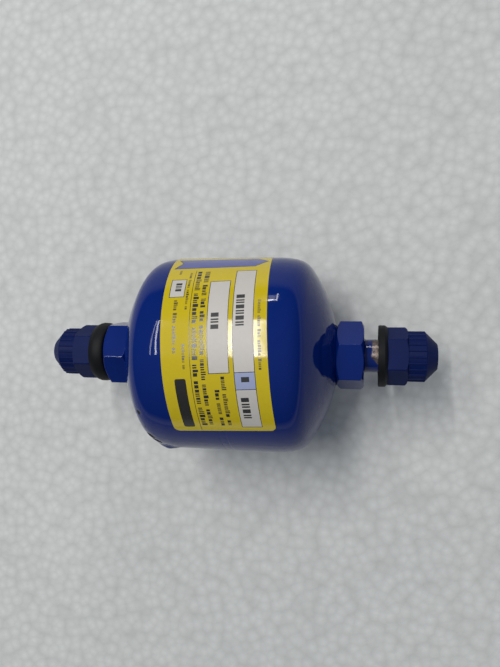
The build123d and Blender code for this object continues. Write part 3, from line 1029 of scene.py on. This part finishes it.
def buildLabel():
    v = labelValues
    half, tall = v["width"] / 2, v["length"] / 2
    outline = rounded(-half, -tall, half, tall, v["corner"])
    layers = [("yellow", outline)] + printFields()
    points, loops = [], []
    for _, shape in layers:
        loops.append(list(range(len(points), len(points) + len(shape))))
        points.extend(Vector(p) for p in shape)
    edges = []
    steps = round(v["length"] / v["strip"])
    for k in range(1, steps):
        y = -tall + v["length"] * k / steps
        over = max(abs(y) - (tall - v["corner"]), 0.0)
        inset = v["corner"] - math.sqrt(max(v["corner"] ** 2 - over ** 2, 0.0))
        edges.append((len(points), len(points) + 1))
        points += [Vector((-half + inset, y)), Vector((half - inset, y))]
    flat, _, faces, _, _, sources = delaunay_2d_cdt(points, edges, loops, 1, 0.0005)
    names = list(filmFinishes)
    count = len(flat)
    outer = [onDrum(p.x, p.y, v["outer"]) for p in flat]
    inner = [onDrum(p.x, p.y, v["inner"]) for p in flat]
    triangles, picks, sides = [], [], {}  # sides keeps each triangle's edges in order
    for face, source in zip(faces, sources):
        if source:
            face = tuple(face)
            triangles.append(face)
            picks.append(names.index(layers[max(source)][0]))  # the top layer shows
            sides.update(dict.fromkeys(zip(face, face[1:] + face[:1])))
    border = [(a, b) for a, b in sides if (b, a) not in sides]
    shell = list(triangles)
    shell += [tuple(i + count for i in reversed(face)) for face in triangles]
    shell += [(b, a, a + count, b + count) for a, b in border]
    picks = picks + [0] * (len(triangles) + len(border))

    mesh = bpy.data.meshes.new("flow_label_film")
    mesh.from_pydata([p * mm for p in outer + inner], [], shell)
    for name in names:
        mesh.materials.append(filmFinishes[name])
    mesh.polygons.foreach_set("material_index", picks)
    mesh.polygons.foreach_set("use_smooth", [True] * len(shell))
    normals = []
    for polygon in mesh.polygons:
        for index in polygon.loop_indices:
            point = mesh.vertices[mesh.loops[index].vertex_index].co
            outward = Vector((0.0, point.y, point.z)).normalized()
            if polygon.index < len(triangles):
                normals.append(outward)
            elif polygon.index < 2 * len(triangles):
                normals.append(-outward)
            else:
                normals.append(polygon.normal.copy())
    mesh.normals_split_custom_set(normals)
    settle(mesh, "drier", ["flow_label"])


buildLabel()
print("label made")


# These parts keep the shape they were packed with and take a finish.
insideFinishes = {
    "inlet_distributor": plateSteel,
    "spring_plate": plateSteel,
    "perforated_plate": plateSteel,
    "outlet_strainer": plateSteel,
    "core_spring": springWire,
    "desiccant_core": mouldedDesiccant,
    "inlet_cap_disc": ringRubber,
    "outlet_cap_disc": ringRubber,
}
for name, material in insideFinishes.items():
    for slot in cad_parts[name].material_slots:
        slot.material = material


feltValues = {
    "fuzz": 0.09,
    "fibreScale": 1.3,
    "steps": 120,
    "pieces": [  # name, node, start and end along the drier, inner and outer radius
        ("felt_mat", "filter_mat", (13.4, 15.9), (0.0, 24.7)),
        ("felt_gasket", "core_gasket", (8.7, 11.9), (22.2, 24.7)),
    ],
}


def buildFelt(name, node, ends, radii):  # fibrous, so never quite flat
    start, stop = ends
    innerRadius, outerRadius = radii
    scale = feltValues["fibreScale"]
    angles = allRound(feltValues["steps"])
    sections = []
    for angle in angles:
        c, s = math.cos(math.radians(angle)), math.sin(math.radians(angle))

        def fuzz(x, r):
            return feltValues["fuzz"] * (0.5 + noise.noise((x * scale, r * c * scale, r * s * scale)))

        section = [(start + fuzz(start, r), r) for r in swept(innerRadius, outerRadius, 24)]
        section += [(x, outerRadius - fuzz(x, outerRadius)) for x in swept(start, stop, 6)[1:-1]]
        section += [(stop - fuzz(stop, r), r) for r in swept(outerRadius, innerRadius, 24)]
        sections.append(section)
    newPiece(name, loft(sections, angles), polyesterFelt, "drier", node, 70)


for felt in feltValues["pieces"]:
    buildFelt(*felt)
print("inside finished")


floorValues = {
    "height": -26.0,
    "reach": 900.0,
    "beadSize": 3.0,
    "bead": rgb(219, 219, 216),
    "gap": rgb(182, 182, 179),
}


def floorLook(place):
    beads = place.cells(floorValues["beadSize"])
    cloud = place.noise(40.0, 4.0)
    fine = place.noise(1.6, 3.0, 0.6)
    shade = (cloud * 0.25 + beads * 0.6 + fine * 0.15).clamped()
    return {
        "Base Color": shade.mixed(floorValues["bead"], floorValues["gap"]),
        "Normal": (beads + fine).bumped(0.25, 0.5),
    }


floorFinish = newMaterial("floorFinish", {"Roughness": 0.85}, floorLook)
floorMesh = bpy.data.meshes.new("floor")
reach = floorValues["reach"]
corners = [(x, y, floorValues["height"]) for x, y in rectangle(-reach, -reach, reach, reach)]
floorMesh.from_pydata([Vector(corner) * mm for corner in corners], [], [(0, 1, 2, 3)])
floorMesh.materials.append(floorFinish)
floor = bpy.data.objects.new("floor", floorMesh)
bpy.context.scene.collection.objects.link(floor)

lightValues = {
    "colour": (1.0, 0.99, 0.97),
    "height": 1.25,
    "lamps": [  # name, lower and upper end and width as shares of the height, watts
        ("nearLamp", (-0.202, -0.03), (-0.264, 0.843), 0.1, 2.6),
        ("nearTube", (-0.188, -0.01), (-0.245, 0.82), 0.018, 7.6),
        ("middleLamp", (-0.437, -0.02), (-0.512, 0.80), 0.045, 4.4),
        ("farLamp", (-0.613, -0.02), (-0.585, 0.80), 0.03, 1.5),
    ],
    "wallDistance": 1.5,
    "wallFrom": (14.2, 13.6, 22.1),
    "wallLamps": [  # name, direction, size in metres, watts
        ("wallBar", (-0.095, 0.903, 0.417), (0.15, 0.055), 1.1),
        ("wallBarEnd", (-0.012, 0.908, 0.417), (0.10, 0.045), 0.28),
        ("wallUpright", (0.024, 0.935, 0.355), (0.032, 0.27), 0.5),
        ("wallPatch", (-0.07, 0.935, 0.352), (0.2, 0.12), 0.34),
    ],
    "skyColours": (rgb(66, 74, 86), rgb(140, 148, 158)),  # from the horizon to overhead
    "backdrop": rgb(196, 198, 198),
    "backdropTop": 0.15,  # reflections see the pale backdrop up to here, as the height of a unit direction
    "backdropFade": 8.0,
}


def addLamp(name, size, watts, place, turn):
    data = bpy.data.lights.new(name, "AREA")
    data.shape = "RECTANGLE"
    data.size, data.size_y = size
    data.energy = watts
    data.color = lightValues["colour"]
    lamp = bpy.data.objects.new(name, data)
    lamp.location = place
    lamp.rotation_euler = turn
    lamp.visible_camera = False
    bpy.context.scene.collection.objects.link(lamp)


def buildLights():
    v = lightValues
    tall = v["height"]
    for name, low, high, wide, watts in v["lamps"]:
        low, high = Vector(low), Vector(high)
        middle, run = (low + high) / 2, high - low
        turn = Euler((0.0, 0.0, math.atan2(-run.x, run.y)))
        place = (middle.x * tall, middle.y * tall, tall)
        addLamp(name, (wide * tall, run.length * tall), watts, place, turn)
    for name, way, size, watts in v["wallLamps"]:
        way = Vector(way).normalized()
        place = Vector(v["wallFrom"]) * mm + way * v["wallDistance"]
        addLamp(name, size, watts, place, way.to_track_quat("Z", "Y").to_euler())
    world = bpy.data.worlds.new("room")
    world.use_nodes = True
    back = world.node_tree.nodes["Background"]
    way = Tap(world.node_tree).node("ShaderNodeTexCoord")
    sky = way.part("Z").clamped().mixed(*v["skyColours"])
    paths = way.node("ShaderNodeLightPath")
    glossy = paths.beside("Is Glossy Ray") + paths.beside("Is Transmission Ray")
    low = ((v["backdropTop"] - way.part("Z")) * v["backdropFade"]).clamped()
    seen = paths.beside("Is Camera Ray").larger(glossy * low)
    sky = seen.mixed(sky, v["backdrop"])  # pale behind the table
    world.node_tree.links.new(sky.socket, back.inputs["Color"])
    bpy.context.scene.world = world


buildLights()

cameraValues = {
    "place": (0.0361928, 0.0050001, 0.1617410),
    "turns": (0.00544304, 0.19454695, 0.01059377),  # about X, Y and Z in radians
    "focalPixels": 603.4239,
    "framePixels": 500,
}
lens = bpy.data.cameras.new("viewCamera")
lens.sensor_fit = "HORIZONTAL"
lens.sensor_width = 36.0
lens.lens = 36.0 * cameraValues["focalPixels"] / cameraValues["framePixels"]
lens.clip_start = 0.01
lens.clip_end = 20.0
camera = bpy.data.objects.new("viewCamera", lens)
aboutX, aboutY, aboutZ = cameraValues["turns"]
stand = Matrix.Rotation(aboutZ, 4, "Z") @ Matrix.Rotation(aboutY, 4, "Y") @ Matrix.Rotation(aboutX, 4, "X")
camera.matrix_world = Matrix.Translation(cameraValues["place"]) @ stand
bpy.context.scene.collection.objects.link(camera)
bpy.context.scene.camera = camera
bpy.context.scene.view_settings.view_transform = "Standard"
print("floor, lights and camera made")
